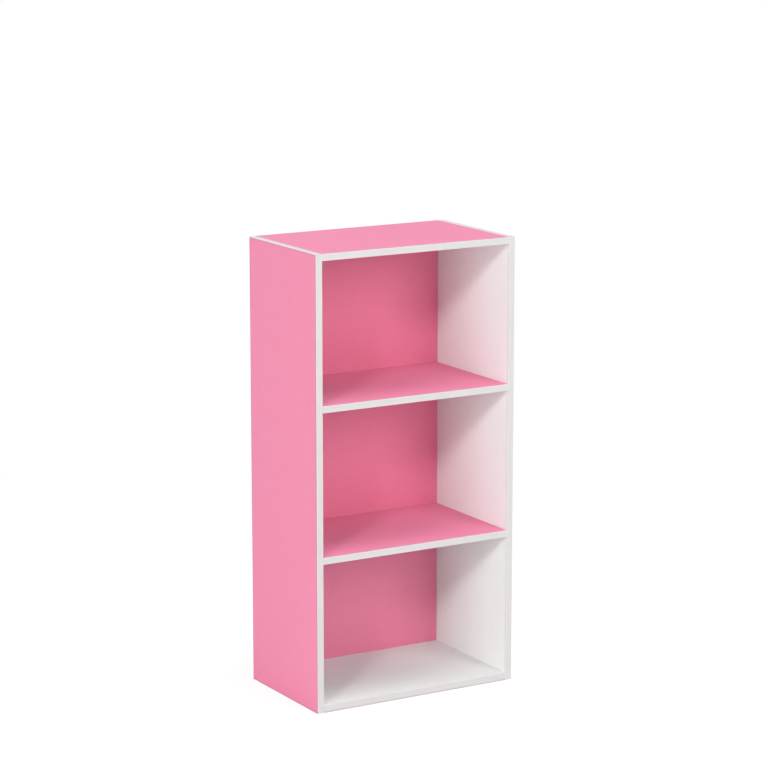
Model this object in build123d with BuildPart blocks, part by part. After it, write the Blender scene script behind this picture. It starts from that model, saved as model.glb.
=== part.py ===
from build123d import *
import os
from math import atan2, cos, degrees, pi

# A narrow open bookcase with three bays. Two upright sides carry a top, two fixed shelves and a
# raised bottom, all of 12 mm laminated board, and a thin back closes the rear. Two countersunk
# screws pass through a side into each end of a flat board, and a cap covers each screw's head.
# Origin on the floor at the middle of the footprint, +X to the right, the open front facing -Y.

# Case
case_width = 396.0
case_height = 800.0
board_depth = 236.0
board_thickness = 12.0
floor_gap = 2.0

# Upper faces of the boards that lie flat
board_tops = {
    "top_panel": case_height,
    "upper_shelf": 540.0,
    "lower_shelf": 276.0,
    "bottom_panel": floor_gap + board_thickness,
}

# Edge band glued to the edges that show, with rounded outer corners
band_thickness = 1.0
band_corner = 0.6

# Back panel, set in from the outline of the case and nailed to the rear edges
back_thickness = 3.0
back_inset = 2.0

# Nails of the back panel. Small round pieces and their bores are drawn with flats.
nail_sides = 8
nail_radius = 0.8
nail_length = 18.0
nail_point_length = 2.0
nail_point_radius = 0.2
nail_head_radius = 2.2
nail_head_height = 0.8
side_nail_count = 7
board_nail_count = 3
board_nail_spacing = 120.0

# Connecting screws, 5 x 40 mm: countersunk head, smooth collar, core without its thread, tip
screw_sides = 16
screw_length = 40.0
screw_head_radius = 4.0
screw_collar_radius = 2.6
screw_collar_length = 11.0
screw_core_radius = 2.0
screw_tip_radius = 1.2
screw_tip_length = 4.0
screw_recess = 0.2
screw_inset = 25.0
socket_width = 3.0
socket_depth = 2.6
pilot_depth = 30.0

# Cover caps pressed into the hexagon sockets of the screws
cap_sides = 24
cap_radius = 5.0
cap_top_radius = 4.1
cap_rim_height = 0.3
cap_height = 0.9
cap_stem_width = 2.9
cap_stem_length = 2.2

# Sizes that follow from these
total_depth = board_depth + back_thickness + nail_head_height
front_y = -total_depth / 2
rear_y = front_y + board_depth
back_y = rear_y + back_thickness
core_front_y = front_y + band_thickness
core_depth = board_depth - band_thickness
core_middle_y = core_front_y + core_depth / 2
inner_width = case_width - 2 * board_thickness
side_middle_x = (case_width - board_thickness) / 2
board_middles = {name: top - board_thickness / 2 for name, top in board_tops.items()}

screw_rows = (front_y + screw_inset, rear_y - screw_inset)
screw_head_height = (screw_head_radius - screw_collar_radius) * cos(pi / screw_sides)

nail_in_board = nail_length - back_thickness
nail_columns = [
    board_nail_spacing * (i - (board_nail_count - 1) / 2) for i in range(board_nail_count)
]
side_nail_step = (case_height - 2 * board_thickness) / (side_nail_count + 1)
side_nail_heights = [
    board_thickness + side_nail_step * (i + 1) for i in range(side_nail_count)
]

os.makedirs("parts", exist_ok=True)


def finish(piece, name):
    """Names the finished piece and writes it."""
    piece.part.label = name
    export_step(piece.part, f"parts/{name}.step")


def outward_planes(x, heights, outward):
    """Planes that face out along X, one at each row of screws and each height."""
    return [
        Plane(origin=(x, y, z), x_dir=(0, 1, 0), z_dir=(outward, 0, 0))
        for y in screw_rows
        for z in heights
    ]


def rear_planes(y, columns, heights):
    """Planes that face the rear, one at each column and each height."""
    return [
        Plane(origin=(x, y, z), x_dir=(1, 0, 0), z_dir=(0, 1, 0)) for x in columns for z in heights
    ]


def narrowing(start_radius, end_radius, height, sides):
    """Taper, in degrees, of a stem with flats whose corners go from one radius to the other."""
    return degrees(atan2((start_radius - end_radius) * cos(pi / sides), height))


# Left side, with its screws' bores, countersunk in the outer face, and the bores of its nails
with BuildPart() as left_side_panel:
    with BuildSketch():
        with Locations((-side_middle_x, core_middle_y)):
            Rectangle(board_thickness, core_depth)
    extrude(amount=case_height - band_thickness)
    outer_face = -case_width / 2
    with BuildSketch(*outward_planes(outer_face, board_middles.values(), -1)):
        RegularPolygon(screw_collar_radius, screw_sides)
    extrude(amount=-board_thickness, mode=Mode.SUBTRACT)
    with BuildSketch(*outward_planes(outer_face, board_middles.values(), -1)):
        RegularPolygon(screw_head_radius, screw_sides)
    extrude(amount=-screw_recess, mode=Mode.SUBTRACT)
    with BuildSketch(*outward_planes(outer_face + screw_recess, board_middles.values(), -1)):
        RegularPolygon(screw_head_radius, screw_sides)
    extrude(amount=-screw_head_height, taper=45, mode=Mode.SUBTRACT)
    with BuildSketch(*rear_planes(rear_y, [-side_middle_x], side_nail_heights)):
        RegularPolygon(nail_radius, nail_sides)
    extrude(amount=-nail_in_board, mode=Mode.SUBTRACT)
finish(left_side_panel, "left_side_panel")

# Right side, the mirror image of the left one
with BuildPart() as right_side_panel:
    mirror(left_side_panel.part, about=Plane.YZ)
finish(right_side_panel, "right_side_panel")

# Top, shelves and bottom: boards between the sides, with pilot bores in their ends for the
# screws and in their rear edges for the nails
for name, middle in board_middles.items():
    with BuildPart() as flat_board:
        with BuildSketch(Plane.XY.offset(middle - board_thickness / 2)):
            with Locations((0, core_middle_y)):
                Rectangle(inner_width, core_depth)
        extrude(amount=board_thickness)
        for outward in (-1, 1):
            with BuildSketch(*outward_planes(outward * inner_width / 2, [middle], outward)):
                RegularPolygon(screw_core_radius, screw_sides)
            extrude(amount=-pilot_depth, mode=Mode.SUBTRACT)
        with BuildSketch(*rear_planes(rear_y, nail_columns, [middle])):
            RegularPolygon(nail_radius, nail_sides)
        extrude(amount=-nail_in_board, mode=Mode.SUBTRACT)
    finish(flat_board, name)

# Back panel, pierced by its nails
nail_planes = rear_planes(back_y, [-side_middle_x, side_middle_x], side_nail_heights)
nail_planes += rear_planes(back_y, nail_columns, board_middles.values())

with BuildPart() as back_panel:
    with BuildSketch(Plane.XZ.offset(-back_y)):
        with Locations((0, case_height / 2)):
            Rectangle(case_width - 2 * back_inset, case_height - 2 * back_inset)
    extrude(amount=back_thickness)
    with BuildSketch(*nail_planes):
        RegularPolygon(nail_radius, nail_sides)
    extrude(amount=-back_thickness, mode=Mode.SUBTRACT)
finish(back_panel, "back_panel")

# Bands on the sides: the front one is full height and covers the end of the top one
for name, outward in (("left", -1), ("right", 1)):
    with BuildPart() as side_front_band:
        with BuildSketch() as strip:
            with Locations((outward * side_middle_x, front_y + band_thickness / 2)):
                Rectangle(board_thickness, band_thickness)
            fillet(strip.vertices().group_by(Axis.Y)[0], band_corner)
        extrude(amount=case_height)
    finish(side_front_band, f"{name}_side_front_band")

    with BuildPart() as side_top_band:
        with BuildSketch(Plane.XZ.offset(-core_front_y)) as strip:
            with Locations((outward * side_middle_x, case_height - band_thickness / 2)):
                Rectangle(board_thickness, band_thickness)
            fillet(strip.vertices().group_by(Axis.Y)[-1], band_corner)
        extrude(amount=-core_depth)
    finish(side_top_band, f"{name}_side_top_band")

# Front bands of the flat boards, between the sides
for name, middle in board_middles.items():
    with BuildPart() as board_front_band:
        with BuildSketch(Plane.YZ.offset(-inner_width / 2)) as strip:
            with Locations((front_y + band_thickness / 2, middle)):
                Rectangle(band_thickness, board_thickness)
            fillet(strip.vertices().group_by(Axis.X)[0], band_corner)
        extrude(amount=inner_width)
    finish(board_front_band, f"{name}_front_band")

# One connecting screw along Z, the top of its head at the origin
with BuildPart() as screw:
    with BuildSketch():
        RegularPolygon(screw_head_radius, screw_sides)
    extrude(amount=-screw_head_height, taper=45)
    with BuildSketch(Plane.XY.offset(-screw_head_height)):
        RegularPolygon(screw_collar_radius, screw_sides)
    extrude(amount=screw_head_height - screw_collar_length)
    with BuildSketch(Plane.XY.offset(-screw_collar_length)):
        RegularPolygon(screw_core_radius, screw_sides)
    extrude(amount=screw_collar_length + screw_tip_length - screw_length)
    with BuildSketch(Plane.XY.offset(screw_tip_length - screw_length)):
        RegularPolygon(screw_core_radius, screw_sides)
    extrude(
        amount=-screw_tip_length,
        taper=narrowing(screw_core_radius, screw_tip_radius, screw_tip_length, screw_sides),
    )
    with BuildSketch():
        RegularPolygon(socket_width / 2, 6, major_radius=False)
    extrude(amount=-socket_depth, mode=Mode.SUBTRACT)

# Four screws for each flat board, two in each end
for name, middle in board_middles.items():
    with BuildPart() as board_screws:
        for outward in (-1, 1):
            head_x = outward * (case_width / 2 - screw_recess)
            with Locations(outward_planes(head_x, [middle], outward)):
                add(screw.part)
    finish(board_screws, f"{name}_screws")

# One cover cap along Z: a disc with a bevelled edge, its rear at the origin, on a hexagon stem
with BuildPart() as cap:
    with BuildSketch():
        RegularPolygon(cap_radius, cap_sides)
    extrude(amount=cap_rim_height)
    with BuildSketch(Plane.XY.offset(cap_rim_height)):
        RegularPolygon(cap_radius, cap_sides)
    extrude(
        amount=cap_height - cap_rim_height,
        taper=narrowing(cap_radius, cap_top_radius, cap_height - cap_rim_height, cap_sides),
    )
    with BuildSketch():
        RegularPolygon(cap_stem_width / 2, 6, major_radius=False)
    extrude(amount=-cap_stem_length)

# Caps of each side
for name, outward in (("left", -1), ("right", 1)):
    with BuildPart() as screw_caps:
        with Locations(outward_planes(outward * case_width / 2, board_middles.values(), outward)):
            add(cap.part)
    finish(screw_caps, f"{name}_screw_caps")

# One nail along Z, the underside of its head at the origin
with BuildPart() as nail:
    with BuildSketch():
        RegularPolygon(nail_head_radius, nail_sides)
    extrude(amount=nail_head_height)
    with BuildSketch():
        RegularPolygon(nail_radius, nail_sides)
    extrude(amount=nail_point_length - nail_length)
    with BuildSketch(Plane.XY.offset(nail_point_length - nail_length)):
        RegularPolygon(nail_radius, nail_sides)
    extrude(
        amount=-nail_point_length,
        taper=narrowing(nail_radius, nail_point_radius, nail_point_length, nail_sides),
    )

with BuildPart() as back_panel_nails:
    with Locations(nail_planes):
        add(nail.part)
finish(back_panel_nails, "back_panel_nails")
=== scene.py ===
from math import cos, hypot, pi, radians

import bmesh
import bpy
from mathutils import Matrix, Vector


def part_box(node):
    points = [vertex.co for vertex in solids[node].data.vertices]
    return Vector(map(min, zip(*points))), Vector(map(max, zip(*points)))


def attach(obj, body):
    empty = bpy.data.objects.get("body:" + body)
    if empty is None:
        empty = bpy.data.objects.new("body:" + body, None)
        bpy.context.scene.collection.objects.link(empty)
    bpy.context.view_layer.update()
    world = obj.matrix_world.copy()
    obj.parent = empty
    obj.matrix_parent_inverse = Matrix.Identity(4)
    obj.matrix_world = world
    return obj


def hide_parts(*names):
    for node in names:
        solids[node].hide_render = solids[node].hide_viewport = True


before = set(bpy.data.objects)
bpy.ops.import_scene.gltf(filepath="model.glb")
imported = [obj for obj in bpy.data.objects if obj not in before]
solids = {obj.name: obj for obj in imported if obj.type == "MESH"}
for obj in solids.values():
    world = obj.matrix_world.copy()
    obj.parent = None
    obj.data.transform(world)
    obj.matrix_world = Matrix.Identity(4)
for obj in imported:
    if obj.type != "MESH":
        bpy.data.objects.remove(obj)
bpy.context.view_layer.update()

# Sides: two upright boards of wood particles pressed with resin, 12 mm thick and faced with
# melamine paper, pink outside and white inside. They are sawn to size: their rear and lower
# edges stay bare, and the front and top edges carry glued bands.
paper_thickness = 0.00015
glue_line = 0.00012
front_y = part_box("left_side_front_band")[0].y
core_front_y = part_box("left_side_panel")[0].y
rear_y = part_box("left_side_panel")[1].y
outer_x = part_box("right_side_panel")[1].x
inner_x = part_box("right_side_panel")[0].x
side_top_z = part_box("right_side_panel")[1].z


def screen_colour(red, green, blue):
    """A colour given as screen numbers from 0 to 255, as the linear one that a shader takes."""
    parts = [part / 255 for part in (red, green, blue)]
    return (*[p / 12.92 if p < 0.04045 else ((p + 0.055) / 1.055) ** 2.4 for p in parts], 1.0)


class Reading:
    """What a finish reads at each point of a surface. Sums with numbers become Math nodes."""

    def __init__(self, finish, socket):
        self.finish = finish
        self.socket = socket

    def sum(self, operation, *terms):
        return self.finish.add("Math", {"operation": operation}, dict(enumerate(terms)))

    def __add__(self, other):
        return self.sum("ADD", self, other)

    def __sub__(self, other):
        return self.sum("SUBTRACT", self, other)

    def __rsub__(self, other):
        return self.sum("SUBTRACT", other, self)

    def __mul__(self, other):
        return self.sum("MULTIPLY", self, other)

    def __gt__(self, other):
        return self.sum("GREATER_THAN", self, other)

    def __lt__(self, other):
        return self.sum("LESS_THAN", self, other)

    def __abs__(self):
        return self.sum("ABSOLUTE", self)

    __radd__ = __add__
    __rmul__ = __mul__


class Finish:
    """The finish of a surface, in metres on the part's own axes."""

    def __init__(self, name):
        self.material = bpy.data.materials.new(name)
        self.material.use_nodes = True
        self.tree = self.material.node_tree
        self.tree.nodes.clear()
        self.place = self.add("TexCoord", take="Object")
        self.x, self.y, self.z = self.add("SeparateXYZ", {}, {0: self.place}, ("X", "Y", "Z"))

    def add(self, kind, settings={}, inputs={}, take=0):
        """Adds a node and gives one of its outputs, or several where take names several."""
        node = self.tree.nodes.new("ShaderNode" + kind)
        for name, value in settings.items():
            if name == "stops":
                for spare in range(len(value) - 2):
                    node.color_ramp.elements.new(0.5)
                for stop, (position, colour) in zip(node.color_ramp.elements, value):
                    stop.position, stop.color = position, colour
            else:
                setattr(node, name, value)
        for name, value in inputs.items():
            if isinstance(value, Reading):
                self.tree.links.new(value.socket, node.inputs[name])
            else:
                node.inputs[name].default_value = value
        if take is None:
            return None
        if isinstance(take, tuple):
            return [Reading(self, node.outputs[name]) for name in take]
        return Reading(self, node.outputs[take])

    def rise(self, reading, low, high):
        """0 below low, 1 above high, and a smooth rise between them."""
        inputs = {"Value": reading, "From Min": low, "From Max": high}
        return self.add("MapRange", {"interpolation_type": "SMOOTHSTEP"}, inputs)

    def blend(self, mask, first, second):
        """The first colour where the mask is 0, and the second where it is 1."""
        return self.add("Mix", {"data_type": "RGBA"}, {0: mask, 6: first, 7: second}, 2)

    def cloud(self, size, detail=2.0):
        """Soft random spots of a size, or of a size along each axis."""
        if isinstance(size, float):
            size = (size, size, size)
        scale = tuple(1 / length for length in size)
        spots = self.add("Mapping", {}, {"Vector": self.place, "Scale": scale})
        return self.add("TexNoise", {}, {"Vector": spots, "Scale": 1.0, "Detail": detail})

    def chips(self, size):
        """A random shade for each of the closely packed chips of a size along each axis."""
        scale = tuple(1 / length for length in size)
        packed = self.add("Mapping", {}, {"Vector": self.place, "Scale": scale})
        shade = self.add("TexVoronoi", {}, {"Vector": packed, "Scale": 1.0}, "Color")
        return self.add("SeparateColor", {}, {0: shade})

    def close(self, colour, roughness, relief, **constants):
        """Ends the finish: relief is a height in metres, and constants are plain numbers."""
        normal = self.add("Bump", {}, {"Height": relief, "Distance": 1.0}, "Normal")
        inputs = {"Base Color": colour, "Roughness": roughness, "Normal": normal}
        inputs.update({name.replace("_", " "): value for name, value in constants.items()})
        shader = self.add("BsdfPrincipled", {}, inputs)
        self.add("OutputMaterial", {}, {"Surface": shader}, None)
        return self.material


paper_colours = {
    "pink": (screen_colour(242, 145, 177), screen_colour(245, 150, 182)),
    "white": (screen_colour(231, 235, 233), screen_colour(235, 239, 237)),
}
worn_paper = {"pink": screen_colour(246, 180, 201), "white": screen_colour(243, 243, 241)}
# Painted shade: darker paper colours that board_finish lays along the edges of each board.
painted_edge_shade_paper = {"pink": screen_colour(196, 141, 161), "white": screen_colour(214, 212, 212)}
glue_colour = screen_colour(176, 150, 128)
chip_colours = [
    (0.0, screen_colour(118, 86, 56)),
    (0.35, screen_colour(166, 128, 88)),
    (0.7, screen_colour(190, 154, 110)),
    (1.0, screen_colour(214, 184, 142)),
]


def board_finish(name, pink_side, white_side, upright):
    """Laminated board with its pink and white faces at two places along |X|, or along Z."""
    board = Finish(name)
    across = abs(board.x) if upright else board.z
    step = paper_thickness if white_side < pink_side else -paper_thickness
    on_pink = across > pink_side - step if step > 0 else across < pink_side - step
    on_white = across < white_side + step if step > 0 else across > white_side + step
    on_paper = on_pink + on_white

    smudges_and_shade_patches = board.cloud(0.07)
    mottling = board.cloud(0.012, 4.0)
    pearl = board.cloud(0.00045)
    papers = {
        shade: board.blend(mottling, light, dark)
        for shade, (dark, light) in paper_colours.items()
    }

    # The paper is nicked right at its edges, and for a few millimetres beside them it is painted
    # darker, as painted shade.
    from_front = board.y - core_front_y
    to_rear = rear_y - board.y
    nicks = board.rise(board.cloud(0.0016, 4.0), 0.52, 0.68)
    arris = 1.0 - board.rise(from_front - nicks * 0.0003, 0.0001, 0.00035)
    rear_arris = 1.0 - board.rise(to_rear - nicks * 0.0004, 0.0001, 0.0004)
    worn = (arris * 0.3 + rear_arris * 0.5) * (nicks * 0.7 + 0.3)
    # Painted shade near the front and rear edges, and on the sides also near the top and the foot.
    painted_edge_shade = 2.0 - board.rise(from_front, 0.0, 0.0042) - board.rise(to_rear, 0.0, 0.004)
    glue = from_front < glue_line
    if upright:
        below_top = side_top_z - board.z
        glue = glue + (below_top < glue_line)
        foot = 1.0 - board.rise(board.z - nicks * 0.0008, 0.0002, 0.0009)
        worn = worn + foot * (1.0 - rear_arris) * 0.5
        painted_edge_shade = painted_edge_shade + 2.0
        painted_edge_shade = painted_edge_shade - board.rise(below_top, 0.0, 0.0025) - board.rise(board.z, 0.0, 0.004)
    painted_edge_shade = painted_edge_shade * (smudges_and_shade_patches * 0.6 + 0.5)

    faces = board.blend(on_pink, papers["white"], papers["pink"])
    edge_shaded_faces = board.blend(on_pink, painted_edge_shade_paper["white"], painted_edge_shade_paper["pink"])
    worn_faces = board.blend(on_pink, worn_paper["white"], worn_paper["pink"])
    faces = board.blend(painted_edge_shade, faces, edge_shaded_faces)
    faces = board.blend(worn, faces, worn_faces)
    faces = board.blend(glue * 0.55, faces, glue_colour)

    # The core shows as chips on a sawn edge, coarse ones pressed among fine ones.
    coarse = board.chips((0.0034, 0.0022, 0.0016) if upright else (0.0034, 0.0016, 0.0009))
    fine = board.chips((0.0009, 0.0007, 0.0005))
    shade = coarse * 0.6 + fine * 0.4
    core = board.add("ValToRGB", {"stops": chip_colours}, {0: shade})
    colour = board.blend(on_paper, core, faces)

    paper_gloss = smudges_and_shade_patches * 0.1 + pearl * 0.05 + worn * 0.2 + 0.58
    roughness = on_paper * paper_gloss + (1.0 - on_paper) * 0.85
    pressed = pearl * 0.000008 + board.cloud(0.0026) * 0.000006 + board.cloud(0.011) * 0.000014
    sawn = shade * 0.00022 + board.cloud(0.0006) * 0.00008
    relief = on_paper * pressed + (1.0 - on_paper) * sawn
    return board.close(colour, roughness, relief, Specular_IOR_Level=0.08)


def dress(name, material):
    """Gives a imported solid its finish."""
    solids[name].data.materials.clear()
    solids[name].data.materials.append(material)


side_board = board_finish("side_board", outer_x, inner_x, upright=True)
for name in ("left_side_panel", "right_side_panel"):
    dress(name, side_board)

# Top, shelves and bottom: four boards of the same stock, screwed between the sides. The top and
# the shelves lie with their pink face up and the bottom with its white one, so that each bay is
# white inside but for its back and, above a shelf, its floor.
for name in ("top_panel", "upper_shelf", "lower_shelf", "bottom_panel"):
    low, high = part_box(name)
    pink_side, white_side = (low.z, high.z) if name == "bottom_panel" else (high.z, low.z)
    dress(name, board_finish(name + "_board", pink_side, white_side, upright=False))

# Edge bands: 1 mm strips of white PVC, glued on hot and scraped round at both corners, which
# leaves fine lines along the strip and a paler, slightly torn corner; that paleness is partly
# scraped whitening and partly a painted highlight. Those on top are painted paler, as painted
# light from above.
front_band_colours = screen_colour(207, 205, 205), screen_colour(211, 209, 209)
# Painted light: the top bands are given a paler colour than the front ones.
top_band_lit_colours = screen_colour(222, 218, 219), screen_colour(226, 222, 223)
scraped_and_highlight_colour = screen_colour(238, 234, 236)


def band_finish(name, lengthwise, across, colours):
    """PVC band that runs along one axis and has its width along another."""
    low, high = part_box(name)
    middle = (low[across] + high[across]) / 2
    half = (high[across] - low[across]) / 2
    band = Finish(name + "_plastic")
    off_middle = abs((band.x, band.y, band.z)[across] - middle)
    corner = band.rise(off_middle, half - 0.0007, half - 0.0001)

    drawn = [0.00025, 0.00025, 0.00025]
    drawn[lengthwise] = 0.03
    lines = band.cloud(tuple(drawn), 3.0)
    tears = [0.0008, 0.0008, 0.0008]
    tears[lengthwise] = 0.0022
    torn = band.rise(band.cloud(tuple(tears), 3.0), 0.45, 0.7) * corner
    mottling = band.cloud(0.02)

    colour = band.blend(mottling, *colours)
    # The paler corner is partly scraped whitening and partly a painted highlight.
    colour = band.blend(corner * 0.6 + torn * 0.4, colour, scraped_and_highlight_colour)
    roughness = mottling * 0.08 + lines * 0.06 + corner * 0.12 + torn * 0.15 + 0.4
    relief = lines * 0.000006 + torn * 0.00002 + band.cloud(0.009) * 0.000012
    return band.close(colour, roughness, relief, Specular_IOR_Level=0.2)


along_x, along_y, along_z = range(3)
for side in ("left", "right"):
    name = side + "_side_front_band"
    dress(name, band_finish(name, along_z, along_x, front_band_colours))
    name = side + "_side_top_band"
    dress(name, band_finish(name, along_y, along_x, top_band_lit_colours))
for board in ("top_panel", "upper_shelf", "lower_shelf", "bottom_panel"):
    name = board + "_front_band"
    dress(name, band_finish(name, along_x, along_z, front_band_colours))

# Back panel: 3 mm fibreboard, pink paper on the side that faces the bays and bare brown fibre
# behind and on its sawn edges. It is nailed onto the rear edges of all six boards.
fibre_colours = [
    (0.0, screen_colour(136, 101, 72)),
    (0.4, screen_colour(158, 122, 89)),
    (0.75, screen_colour(172, 136, 101)),
    (1.0, screen_colour(192, 159, 124)),
]
# The back's pink is deeper than the sides' paper, partly as painted shade of the bays.
back_paper_shaded_colours = screen_colour(243, 136, 168), screen_colour(246, 141, 173)
back_low, back_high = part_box("back_panel")

fibreboard = Finish("fibreboard")
facing = fibreboard.y < back_low.y + paper_thickness
pressing = fibreboard.cloud(0.0011, 4.0)
fibres = fibreboard.cloud((0.0022, 0.0006, 0.0009), 3.0) * 0.5
fibres = fibres + fibreboard.cloud((0.0008, 0.0006, 0.0024), 3.0) * 0.5
blotches = fibreboard.cloud(0.05, 3.0)
shade = fibreboard.rise(fibres * 0.35 + pressing * 0.45 + blotches * 0.2, 0.3, 0.7)
brown = fibreboard.add("ValToRGB", {"stops": fibre_colours}, {0: shade})
pink = fibreboard.blend(fibreboard.cloud(0.012, 4.0), *back_paper_shaded_colours)
colour = fibreboard.blend(facing, brown, pink)
pearl = fibreboard.cloud(0.00045)
roughness = facing * (pearl * 0.05 + blotches * 0.08 + 0.56)
roughness = roughness + (1.0 - facing) * (blotches * 0.2 + 0.52)
relief = facing * (pearl * 0.000008 + fibreboard.cloud(0.012) * 0.00002)
relief = relief + (1.0 - facing) * (fibres * 0.00006 + pressing * 0.00003)
dress("back_panel", fibreboard.close(colour, roughness, relief, Specular_IOR_Level=0.12))

# Connecting screws: zinc-plated steel, 5 x 40 mm, four to each flat board. A countersunk head
# with a hexagon socket, a smooth collar in the side, and a rolled coarse thread that cuts its
# own way into the pilot bore in the end of the board.
screw_head_radius = 0.004
screw_head_height = 0.00137
screw_collar_radius = 0.0026
screw_collar_end = 0.011
screw_core_radius = 0.002
screw_length = 0.040
socket_across_flats = 0.003
socket_depth = 0.0026
thread_depth = 0.0005
thread_root = 0.0003
thread_foot, thread_crest = 0.00055, 0.00004
thread_pitch = 0.0022
thread_start, thread_end = 0.0135, 0.0385
screw_steps = 24


def turned(outline, steps):
    """A closed shape turned round Z from the outline of its half, (radius, height) points."""
    shape = bmesh.new()
    points = [shape.verts.new((radius, 0, height)) for radius, height in outline]
    lines = [shape.edges.new(pair) for pair in zip(points, points[1:])]
    bmesh.ops.spin(
        shape, geom=points + lines, cent=(0, 0, 0), axis=(0, 0, 1), dvec=(0, 0, 0),
        angle=2 * pi, steps=steps, use_merge=True, use_normal_flip=False, use_duplicate=False,
    )
    bmesh.ops.remove_doubles(shape, verts=shape.verts, dist=1e-7)
    bmesh.ops.recalc_face_normals(shape, faces=shape.faces)
    return shape


def make_hexagonal(shape, across_flats, lowest, highest):
    """Draws the points of a round wall between two heights onto a hexagon."""
    for point in shape.verts:
        radius = hypot(point.co.x, point.co.y)
        if lowest <= point.co.z <= highest and abs(radius - across_flats / 2) < 1e-6:
            turn = Vector((1, 0)).angle_signed(point.co.xy) % (pi / 3) - pi / 6
            point.co.xy *= 1 / cos(turn)


def spread(shape, places, name, material, sharp_angle):
    """One piece with a copy of a shape at each place."""
    single = bpy.data.meshes.new(name)
    shape.to_mesh(single)
    shape.free()
    whole = bmesh.new()
    for place in places:
        known = len(whole.verts)
        whole.from_mesh(single)
        whole.verts.ensure_lookup_table()
        bmesh.ops.transform(whole, matrix=place, verts=whole.verts[known:])
    whole.to_mesh(single)
    whole.free()
    single.polygons.foreach_set("use_smooth", [True] * len(single.polygons))
    single.set_sharp_from_angle(angle=radians(sharp_angle))
    single.materials.append(material)
    piece = bpy.data.objects.new(name, single)
    bpy.context.scene.collection.objects.link(piece)
    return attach(piece, "root")


screw_outline = [
    (0.0, -socket_depth - 0.0003),
    (socket_across_flats / 2, -socket_depth),
    (socket_across_flats / 2, -0.00015),
    (socket_across_flats / 2 + 0.0004, 0.0),
    (screw_head_radius - 0.0001, 0.0),
    (screw_head_radius, -0.0001),
    (screw_collar_radius + 0.0001, -screw_head_height),
    (screw_collar_radius, -screw_head_height - 0.0002),
    (screw_collar_radius, -screw_collar_end + 0.0002),
    (screw_collar_radius - 0.0002, -screw_collar_end),
    (screw_core_radius, -screw_collar_end - 0.0004),
    (screw_core_radius, -screw_length + 0.004),
    (screw_core_radius - 0.0003, -screw_length + 0.0025),
    (screw_core_radius - 0.0008, -screw_length + 0.0002),
    (screw_core_radius - 0.0011, -screw_length),
    (0.0, -screw_length),
]
screw_shape = turned(screw_outline, screw_steps)
make_hexagonal(screw_shape, socket_across_flats, -socket_depth - 1e-6, -1e-6)

flank = [
    screw_shape.verts.new((radius, 0, -thread_start + height))
    for radius, height in (
        (screw_core_radius - thread_root, thread_foot),
        (screw_core_radius + thread_depth, thread_crest),
        (screw_core_radius + thread_depth, -thread_crest),
        (screw_core_radius - thread_root, -thread_foot),
    )
]
flank_edges = [screw_shape.edges.new((flank[i - 1], flank[i])) for i in range(4)]
flank_face = screw_shape.faces.new(flank)

# The thread starts and ends as a low rib, and follows the taper of the tip.
thread_turns = (thread_end - thread_start) / thread_pitch
thread_steps = round(thread_turns * screw_steps)
known = set(screw_shape.verts) - set(flank)
bmesh.ops.spin(
    screw_shape, geom=flank + flank_edges + [flank_face], cent=(0, 0, 0), axis=(0, 0, 1),
    dvec=(0, 0, -(thread_end - thread_start) / thread_steps), angle=thread_turns * 2 * pi,
    steps=thread_steps, use_merge=False, use_normal_flip=False, use_duplicate=False,
)
for point in set(screw_shape.verts) - known:
    radius = hypot(point.co.x, point.co.y)
    if radius > screw_core_radius:
        depth = -point.co.z
        ends = min(depth - thread_start, thread_end - depth) / (thread_pitch * 0.75)
        tip = max(0.0, (depth - (screw_length - 0.004)) * 0.25)
        wanted = screw_core_radius - tip + thread_depth * min(1.0, max(0.0, ends))
        point.co.xy *= wanted / radius
bmesh.ops.recalc_face_normals(screw_shape, faces=screw_shape.faces)
single_screw = bpy.data.meshes.new("single_screw")
screw_shape.to_mesh(single_screw)
screw_shape.free()

zinc = Finish("zinc_plated_steel")
spangle = zinc.chips((0.0011, 0.0011, 0.0011))
dulling = zinc.cloud(0.0025, 4.0)
shades = screen_colour(176, 178, 182), screen_colour(206, 207, 209)
colour = zinc.blend(spangle * 0.3 + dulling * 0.7, *shades)
relief = zinc.cloud(0.0002) * 0.000004 + dulling * 0.000006
zinc = zinc.close(colour, spangle * 0.08 + dulling * 0.22 + 0.18, relief, Metallic=1.0)

screw_inset = 0.025
screw_recess = 0.0002
screw_rows = [front_y + screw_inset, rear_y - screw_inset]


def outward_places(x, rows, heights, outward):
    """Turns that lay a shape's Z outwards along X, one at each row and height."""
    turn = Matrix.Rotation(outward * pi / 2, 4, "Y")
    return [Matrix.Translation((x, y, z)) @ turn for y in rows for z in heights]


board_heights = {}
for name in ("top_panel", "upper_shelf", "lower_shelf", "bottom_panel"):
    low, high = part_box(name)
    board_heights[name] = (low.z + high.z) / 2
    places = []
    for outward in (-1, 1):
        head_x = outward * (outer_x - screw_recess)
        places += outward_places(head_x, screw_rows, [board_heights[name]], outward)
    shape = bmesh.new()
    shape.from_mesh(single_screw)
    piece = spread(shape, places, name + "_threaded_screws", zinc, 40)
    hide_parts(name + "_screws")
bpy.data.meshes.remove(single_screw)

# Screw caps: pink plastic discs, crowned and 10 mm across, each moulded with a short hexagon
# stem that is pressed into the socket of a screw. They lie on the outer faces of the sides.
cap_radius = 0.005
cap_height = 0.0009
cap_stem = 0.0029
cap_stem_length = 0.0022
cap_outline = [
    (0.0, cap_height - 0.00004),
    (0.0004, cap_height - 0.00004),
    (0.0006, cap_height),
    (0.0026, cap_height - 0.00003),
    (0.0038, cap_height - 0.00009),
    (0.0044, cap_height - 0.0002),
    (0.00475, cap_height - 0.00036),
    (0.00492, cap_height - 0.00052),
    (cap_radius, 0.00025),
    (cap_radius - 0.00005, 0.0),
    (cap_stem / 2, 0.0),
    (cap_stem / 2, -cap_stem_length + 0.0003),
    (cap_stem / 2 - 0.0003, -cap_stem_length),
    (0.0, -cap_stem_length),
]

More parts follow.
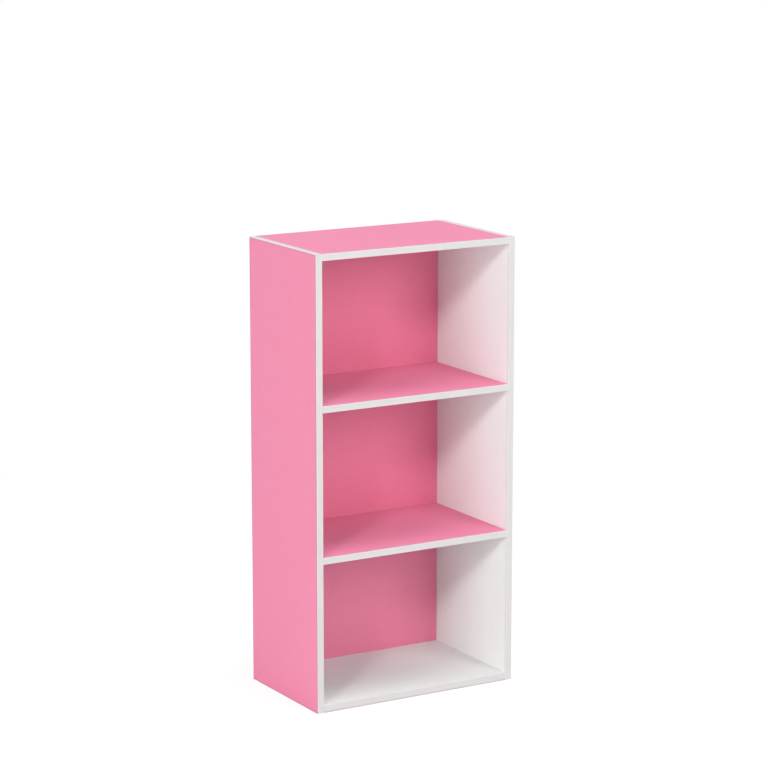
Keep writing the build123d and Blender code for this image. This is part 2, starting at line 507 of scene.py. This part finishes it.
plastic = Finish("cap_plastic")
sheen = plastic.cloud(0.002, 3.0)
shades = screen_colour(239, 141, 173), screen_colour(242, 145, 177)
colour = plastic.blend(sheen, *shades)
relief = plastic.cloud(0.00015) * 0.000006 + sheen * 0.00001
plastic = plastic.close(colour, sheen * 0.14 + 0.5, relief, Specular_IOR_Level=0.2)

for side, outward in (("left", -1), ("right", 1)):
    shape = turned(cap_outline, 48)
    make_hexagonal(shape, cap_stem, -cap_stem_length, -1e-6)
    places = outward_places(outward * outer_x, screw_rows, board_heights.values(), outward)
    piece = spread(shape, places, side + "_crowned_caps", plastic, 35)
    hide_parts(side + "_screw_caps")

# Nails of the back panel: bright steel, 18 mm long, with a flat round head that lies on the
# fibreboard, a few grip rings under it and a cut point. Seven go into each side and three into
# each flat board.
nail_radius = 0.0008
nail_head_radius = 0.0022
nail_head_height = 0.0008
nail_length = 0.018
nail_outline = [
    (0.0, nail_head_height - 0.00006),
    (0.0012, nail_head_height),
    (0.0019, nail_head_height - 0.00005),
    (nail_head_radius - 0.00004, nail_head_height - 0.0002),
    (nail_head_radius, nail_head_height - 0.0004),
    (nail_head_radius - 0.00006, 0.0001),
    (nail_head_radius - 0.0002, 0.0),
    (nail_radius, 0.0),
]
for ring in range(3):
    top = -0.0035 - ring * 0.0009
    nail_outline += [
        (nail_radius, top), (nail_radius + 0.00006, top - 0.0002), (nail_radius, top - 0.0003),
    ]
nail_outline += [
    (nail_radius, -nail_length + 0.0022),
    (nail_radius * 0.45, -nail_length + 0.0007),
    (0.0001, -nail_length),
    (0.0, -nail_length),
]

steel = Finish("bright_steel")
dulling = steel.cloud(0.0012, 4.0)
shades = screen_colour(158, 158, 160), screen_colour(196, 196, 198)
colour = steel.blend(dulling, *shades)
stamped = steel.cloud(0.0007, 1.0)
relief = stamped * 0.00004 + steel.cloud(0.00015) * 0.000006
steel = steel.close(colour, dulling * 0.25 + 0.24, relief, Metallic=1.0)

nail_end_margin = 0.012
side_middle_x = (outer_x + inner_x) / 2
side_nail_step = (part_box("left_side_front_band")[1].z - 2 * nail_end_margin) / 8
nail_spots = [
    (x, nail_end_margin + side_nail_step * count)
    for x in (-side_middle_x, side_middle_x)
    for count in range(1, 8)
]
nail_spots += [(x, z) for x in (-0.12, 0.0, 0.12) for z in board_heights.values()]
rearward = Matrix.Rotation(-pi / 2, 4, "X")
places = [Matrix.Translation((x, back_high.y, z)) @ rearward for x, z in nail_spots]
nails = spread(turned(nail_outline, 16), places, "back_panel_flat_nails", steel, 35)
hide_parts("back_panel_nails")

# Floor and studio: a pale floor that runs off to white, a strong lamp far out in front on the
# left, a broad one overhead, soft ones low on all four sides, and a long lens.
floor_grid = bmesh.new()
bmesh.ops.create_grid(floor_grid, x_segments=1, y_segments=1, size=30.0)
floor_mesh = bpy.data.meshes.new("studio_floor")
floor_grid.to_mesh(floor_mesh)
floor_grid.free()
studio_floor = bpy.data.objects.new("studio_floor", floor_mesh)
bpy.context.scene.collection.objects.link(studio_floor)

pale = Finish("pale_floor")
shade = pale.blend(pale.cloud(0.4), screen_colour(230, 229, 228), screen_colour(234, 233, 232))
matt = pale.add("BsdfDiffuse", {}, {"Color": shade})

# The camera and anything shiny see the floor almost white, with the bookcase's shadow faint on it.
shaded = pale.add("BsdfDiffuse", {}, {"Color": (0.3, 0.3, 0.3, 1.0)})
veil = pale.add("Emission", {}, {"Color": (0.785, 0.785, 0.785, 1.0)})
near = pale.add("AddShader", {}, {0: shaded, 1: veil})

# Painted shade: the floor in the gap below the case is painted darker and pink, for its shade and
# the pink light from the board above it.
gap = (abs(pale.x) < outer_x) * (abs(pale.y) < -front_y)
painted_gap_shade = pale.add("Emission", {}, {"Color": (0.50, 0.41, 0.44, 1.0)})
dark = pale.add("AddShader", {}, {0: shaded, 1: painted_gap_shade})
near = pale.add("MixShader", {}, {0: gap, 1: near, 2: dark})
white = pale.add("Emission", {}, {"Color": (1.0, 1.0, 1.0, 1.0)})
distance = pale.add("VectorMath", {"operation": "LENGTH"}, {0: pale.place}, "Value")
seen = pale.add("MixShader", {}, {0: pale.rise(distance, 0.45, 1.8), 1: near, 2: white})
rays = pale.add("LightPath", take=("Is Camera Ray", "Is Glossy Ray", "Is Transmission Ray"))
surface = pale.add("MixShader", {}, {0: rays[0] + rays[1] + rays[2], 1: matt, 2: seen})
pale.add("OutputMaterial", {}, {"Surface": surface}, None)
floor_mesh.materials.append(pale.material)


class Surroundings(Finish):
    """What stands round the studio, made with the same calls as a finish."""

    def __init__(self, name):
        self.world = bpy.data.worlds.new(name)
        self.world.use_nodes = True
        self.tree = self.world.node_tree
        self.tree.nodes.clear()


studio = Surroundings("studio")
rays = studio.add("LightPath", take=("Is Camera Ray", "Is Glossy Ray", "Is Transmission Ray"))
dim = studio.add("Background", {}, {"Color": (1.0, 1.0, 1.0, 1.0), "Strength": 0.16})
white = studio.add("Background", {}, {"Color": (1.0, 1.0, 1.0, 1.0), "Strength": 1.0})
both = studio.add("MixShader", {}, {0: rays[0] + rays[1] + rays[2], 1: dim, 2: white})
studio.add("OutputWorld", {}, {"Surface": both}, None)
bpy.context.scene.world = studio.world


case_middle = Vector((0.0, 0.0, 0.4))


def lamp(name, place, size, power):
    """A round lamp that faces the middle of the bookcase, its size in metres."""
    light = bpy.data.lights.new(name, "AREA")
    light.shape = "DISK"
    light.size = size
    light.energy = power
    holder = bpy.data.objects.new(name, light)
    holder.location = place
    direction = case_middle - Vector(place)
    holder.rotation_euler = direction.to_track_quat("-Z", "Y").to_euler()
    bpy.context.scene.collection.objects.link(holder)


lamp("front_left_lamp", (-9.0, -7.6, 6.3), 2.0, 515.0)
lamp("overhead_lamp", (0.3, -0.8, 5.3), 3.0, 100.0)
lamp("left_fill_lamp", (-4.5, -2.0, 1.2), 2.5, 86.0)
lamp("low_front_lamp", (1.4, -4.8, 2.4), 2.5, 104.0)
lamp("far_side_lamp", (5.0, -0.5, 1.4), 2.0, 90.0)
lamp("rear_lamp", (0.8, 5.5, 1.6), 2.0, 120.0)

camera_place = (-2.4958, -4.2322, 1.5427)
camera_turn, camera_tilt = radians(-30.575), radians(11.551)
camera = bpy.data.cameras.new("camera")
camera.lens = 134.09
camera.sensor_width = 36.0
camera.sensor_fit = "HORIZONTAL"
camera.clip_end = 100.0
camera_holder = bpy.data.objects.new("camera", camera)
camera_holder.location = camera_place
camera_holder.rotation_euler = (pi / 2 - camera_tilt, 0.0, camera_turn)
bpy.context.scene.collection.objects.link(camera_holder)
bpy.context.scene.camera = camera_holder

bpy.context.scene.view_settings.view_transform = "Standard"
